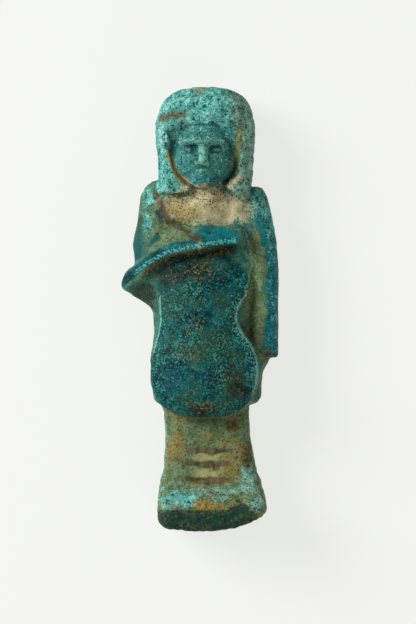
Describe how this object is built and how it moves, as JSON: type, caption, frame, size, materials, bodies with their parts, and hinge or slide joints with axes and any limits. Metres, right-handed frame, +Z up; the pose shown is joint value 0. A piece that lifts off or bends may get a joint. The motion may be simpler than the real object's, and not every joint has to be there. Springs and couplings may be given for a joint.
{
  "type": "ushabti figurine",
  "caption": "Small pressed faience figurine of an overseer in a fillet wig and a long projecting kilt, one arm bent across the waist and one straight, for lying on its back as a display piece.",
  "frame": {"origin": "on the surface that the figure lies on, under the middle of its length and width", "axes": "+X across the figure towards its straight arm, +Y from the soles to the crown, +Z up out of its front"},
  "size_m": [0.0373, 0.105, 0.0223],
  "materials": {
    "faience": "worn turquoise glaze, pitted and speckled, with ochre and brown patches and painted brown strokes"
  },
  "bodies": {
    "root": {"ushabti": "faience"}
  },
  "joints": []
}
